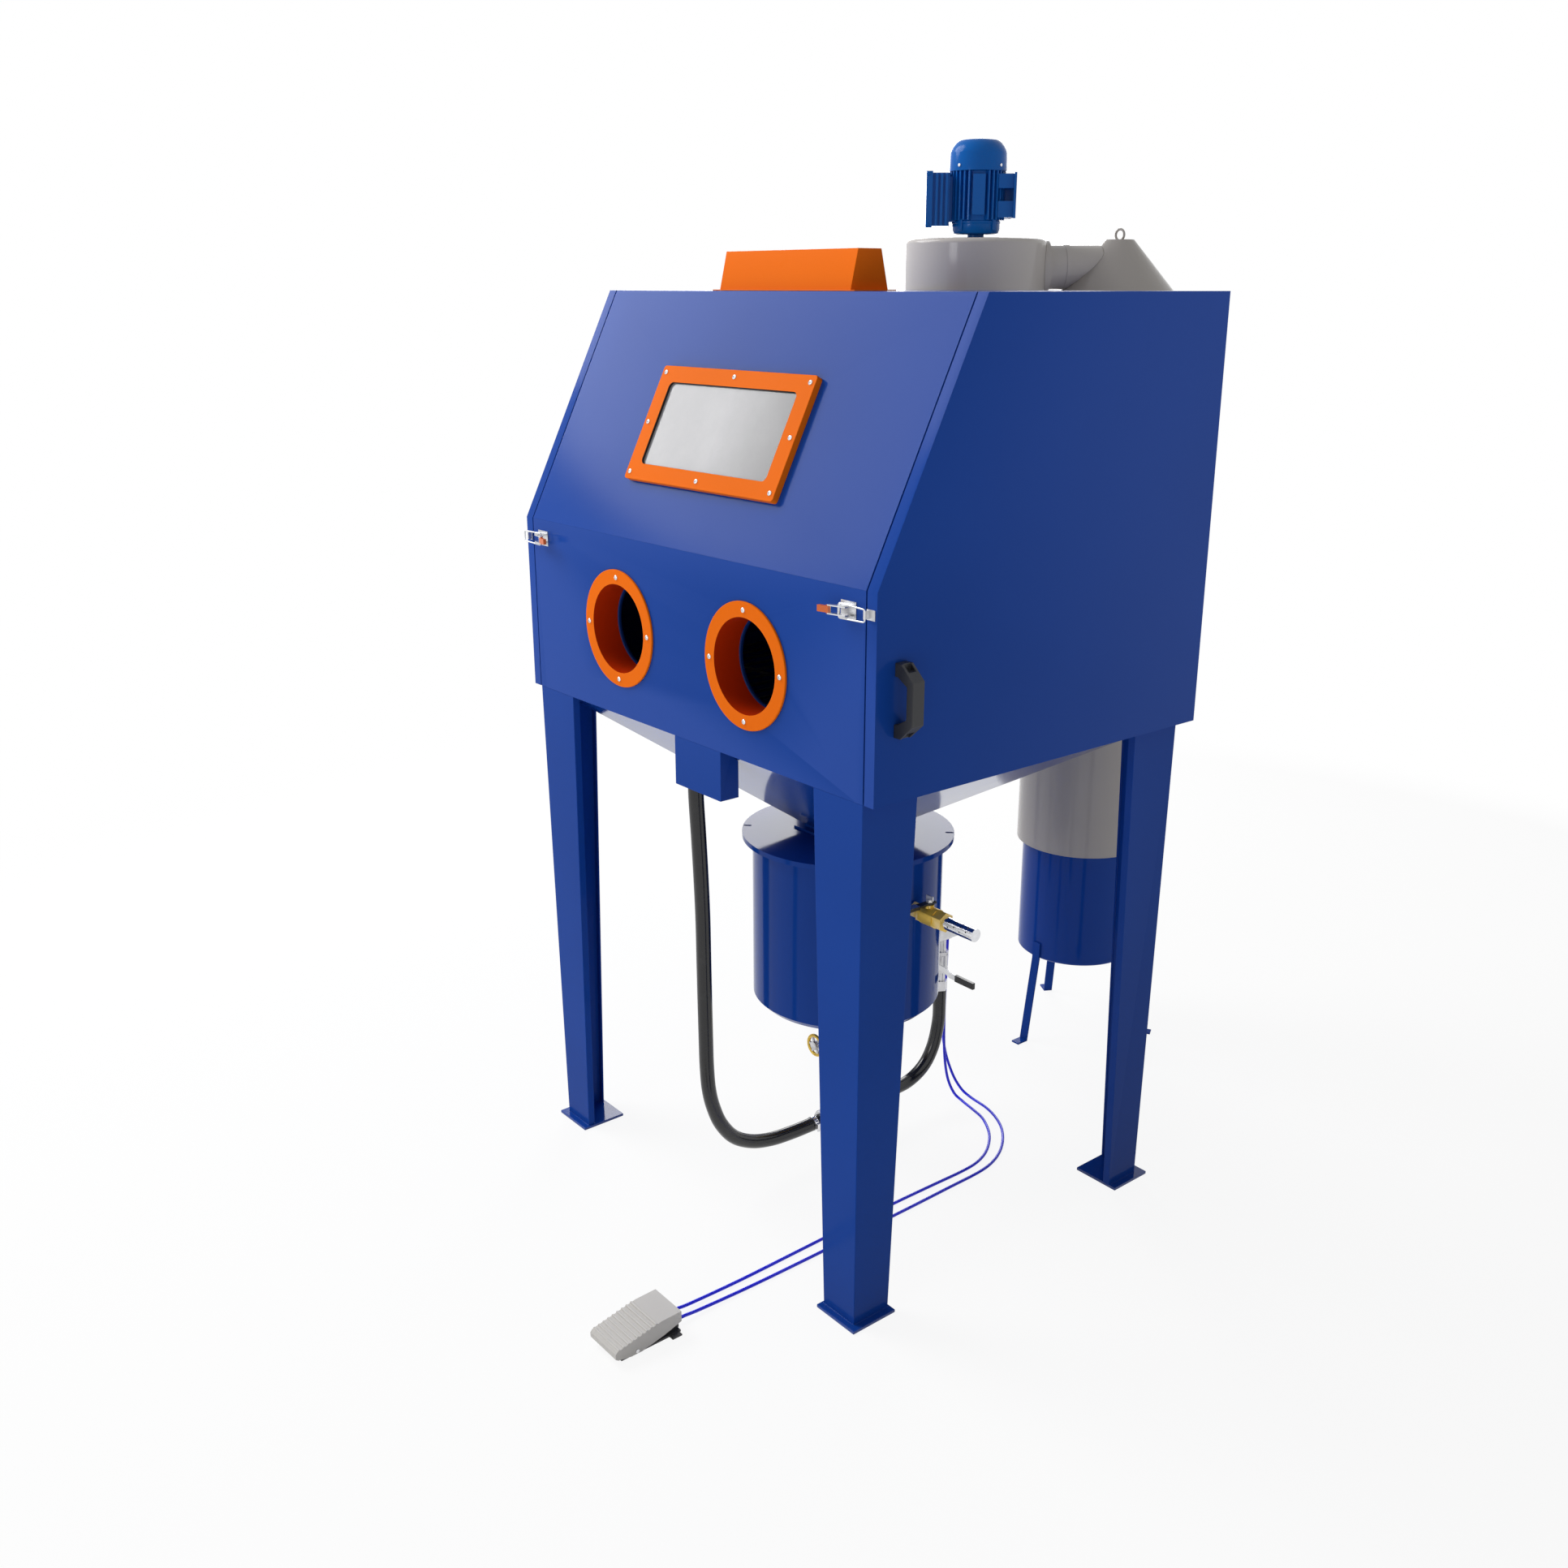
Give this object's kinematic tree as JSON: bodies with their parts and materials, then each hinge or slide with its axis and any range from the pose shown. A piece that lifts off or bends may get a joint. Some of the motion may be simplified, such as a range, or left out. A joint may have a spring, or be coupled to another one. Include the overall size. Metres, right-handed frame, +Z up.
{
  "type": "sandblast cabinet",
  "caption": "Blue pressure-feed sandblast cabinet on legs with orange sloped window and arm rings, side doors, blast pot below, exhaust fan, dust collector and foot pedal.",
  "frame": {"origin": "on the floor, under the middle of the bounding box of everything but the cords", "axes": "+Z up, the front panel with the arm openings faces -Y, +X to the operator's right"},
  "size_m": [1.08, 1.712, 1.9965],
  "materials": {
    "cabinet_shell": "glossy blue paint",
    "hopper": "glossy blue paint",
    "leg_front_left": "glossy blue paint",
    "leg_front_right": "glossy blue paint",
    "leg_rear_left": "glossy blue paint",
    "leg_rear_right": "glossy blue paint",
    "window_frame": "glossy orange paint",
    "window_gasket": "black rubber",
    "window_glass": "clear glass",
    "panel_screws": "bright plated steel",
    "arm_ring_left": "glossy orange paint",
    "arm_ring_right": "glossy orange paint",
    "hose_box": "glossy blue paint",
    "lamp_housing": "glossy orange paint",
    "lamp_tube": "white lamp tube with end caps",
    "lamp_glass": "clear glass",
    "work_grate": "bare steel",
    "blast_nozzle": "dark nozzle holder",
    "door_right": "glossy blue paint",
    "door_left": "glossy blue paint",
    "door_seal_right": "black rubber",
    "door_seal_left": "black rubber",
    "door_handle_right": "dark grey moulded plastic",
    "door_handle_left": "dark grey moulded plastic",
    "door_hinges": "glossy blue paint",
    "strike_right": "bright plated steel",
    "strike_left": "bright plated steel",
    "latch_base_right": "zinc-plated steel, red grip on the lever",
    "latch_base_left": "zinc-plated steel, red grip on the lever",
    "latch_lever_right": "zinc-plated steel, red grip on the lever",
    "latch_lever_left": "zinc-plated steel, red grip on the lever",
    "latch_hook_right": "zinc-plated steel, red grip on the lever",
    "latch_hook_left": "zinc-plated steel, red grip on the lever",
    "fan_housing": "glossy grey paint",
    "fan_impeller": "bright cast metal",
    "motor_body": "mid-blue motor paint",
    "motor_cowl": "mid-blue motor paint",
    "motor_shaft": "bare steel",
    "exhaust_pipe": "glossy grey paint",
    "collector_body": "glossy grey paint",
    "filter_cartridge": "pleated filter paper",
    "collector_drum": "glossy blue paint",
    "collector_legs": "glossy blue paint",
    "pot_body": "glossy blue paint",
    "pot_lid": "glossy blue paint",
    "popup_valve": "cast brass",
    "media_valve": "cast brass",
    "media_wheel": "cast brass",
    "mixing_tee": "bright cast metal",
    "air_riser": "bright cast metal",
    "air_lever": "bright cast metal",
    "exhaust_valve": "cast brass",
    "exhaust_lever": "black-coated lever with a plated nut",
    "silencer": "bright plated steel",
    "blast_hose": "black rubber",
    "air_hose": "black rubber",
    "pilot_tube_a": "blue nylon tube",
    "pilot_tube_b": "blue nylon tube",
    "pedal_base": "dark grey plastic",
    "pedal_treadle": "light grey moulded plastic"
  },
  "bodies": {
    "cabinet": {"cabinet_shell": "cabinet_shell", "hopper": "hopper", "leg_front_left": "leg_front_left", "leg_front_right": "leg_front_right", "leg_rear_left": "leg_rear_left", "leg_rear_right": "leg_rear_right", "window_frame": "window_frame", "window_gasket": "window_gasket", "window_glass": "window_glass", "panel_screws": "panel_screws", "arm_ring_left": "arm_ring_left", "arm_ring_right": "arm_ring_right", "hose_box": "hose_box", "lamp_housing": "lamp_housing", "lamp_tube": "lamp_tube", "lamp_glass": "lamp_glass", "work_grate": "work_grate", "blast_nozzle": "blast_nozzle", "door_hinges": "door_hinges", "latch_base_right": "latch_base_right", "latch_base_left": "latch_base_left", "fan_housing": "fan_housing", "motor_body": "motor_body", "motor_cowl": "motor_cowl", "exhaust_pipe": "exhaust_pipe", "collector_body": "collector_body", "filter_cartridge": "filter_cartridge", "collector_drum": "collector_drum", "collector_legs": "collector_legs", "pot_body": "pot_body", "pot_lid": "pot_lid", "media_valve": "media_valve", "mixing_tee": "mixing_tee", "air_riser": "air_riser", "exhaust_valve": "exhaust_valve", "silencer": "silencer", "blast_hose": "blast_hose", "air_hose": "air_hose", "pilot_tube_a": "pilot_tube_a", "pilot_tube_b": "pilot_tube_b", "pedal_base": "pedal_base"},
    "door_right_body": {"door_right": "door_right", "door_seal_right": "door_seal_right", "door_handle_right": "door_handle_right", "strike_right": "strike_right"},
    "door_left_body": {"door_left": "door_left", "door_seal_left": "door_seal_left", "door_handle_left": "door_handle_left", "strike_left": "strike_left"},
    "lever_right_body": {"latch_lever_right": "latch_lever_right"},
    "hook_right_body": {"latch_hook_right": "latch_hook_right"},
    "lever_left_body": {"latch_lever_left": "latch_lever_left"},
    "hook_left_body": {"latch_hook_left": "latch_hook_left"},
    "fan_rotor": {"motor_shaft": "motor_shaft", "fan_impeller": "fan_impeller"},
    "media_wheel_body": {"media_wheel": "media_wheel"},
    "exhaust_lever_body": {"exhaust_lever": "exhaust_lever"},
    "air_lever_body": {"air_lever": "air_lever"},
    "popup_body": {"popup_valve": "popup_valve"},
    "treadle_body": {"pedal_treadle": "pedal_treadle"}
  },
  "joints": [
    {"name": "door_right_hinge", "type": "hinge", "parent": "cabinet", "child": "door_right_body", "pos_m": [0.477, 0.305, 1.333], "axis": [0, 0, 1], "range_deg": [0, 110]},
    {"name": "door_left_hinge", "type": "hinge", "parent": "cabinet", "child": "door_left_body", "pos_m": [-0.477, 0.305, 1.333], "axis": [0, 0, 1], "range_deg": [-110, 0]},
    {"name": "lever_right_pivot", "type": "hinge", "parent": "cabinet", "child": "lever_right_body", "pos_m": [0.44, -0.502, 1.257], "axis": [0, 0, 1], "range_deg": [0, 100]},
    {"name": "hook_right_pivot", "type": "hinge", "parent": "lever_right_body", "child": "hook_right_body", "pos_m": [0.43, -0.504, 1.257], "axis": [0, 0, 1], "range_deg": [-100, 0]},
    {"name": "lever_left_pivot", "type": "hinge", "parent": "cabinet", "child": "lever_left_body", "pos_m": [-0.44, -0.502, 1.257], "axis": [0, 0, 1], "range_deg": [-100, 0]},
    {"name": "hook_left_pivot", "type": "hinge", "parent": "lever_left_body", "child": "hook_left_body", "pos_m": [-0.43, -0.504, 1.257], "axis": [0, 0, 1], "range_deg": [0, 100]},
    {"name": "rotor_spin", "type": "hinge", "parent": "cabinet", "child": "fan_rotor", "pos_m": [-0.245, 0.454, 1.88], "axis": [0, 0, 1], "continuous": true},
    {"name": "media_wheel_spin", "type": "hinge", "parent": "cabinet", "child": "media_wheel_body", "pos_m": [0, -0.176, 0.253], "axis": [0, -1, 0], "continuous": true},
    {"name": "exhaust_lever_turn", "type": "hinge", "parent": "cabinet", "child": "exhaust_lever_body", "pos_m": [0.232, -0.096, 0.615], "axis": [0, 0, 1], "range_deg": [0, 90]},
    {"name": "air_lever_turn", "type": "hinge", "parent": "cabinet", "child": "air_lever_body", "pos_m": [0, 0.152, 0.338], "axis": [0, 1, 0], "range_deg": [0, 90]},
    {"name": "popup_lift", "type": "slide", "parent": "cabinet", "child": "popup_body", "axis": [0, 0, 1], "range_m": [0, 0.015]},
    {"name": "treadle_pivot", "type": "hinge", "parent": "cabinet", "child": "treadle_body", "pos_m": [0.251, -0.813, 0.011], "axis": [1, 0, 0], "range_deg": [-6, 0], "stiffness_Nm_per_rad": 1.5, "springref_deg": 2.86}
  ],
  "couplings": [
    {"joint": "hook_right_pivot", "follows": "lever_right_pivot", "ratio": -1},
    {"joint": "hook_left_pivot", "follows": "lever_left_pivot", "ratio": -1}
  ]
}
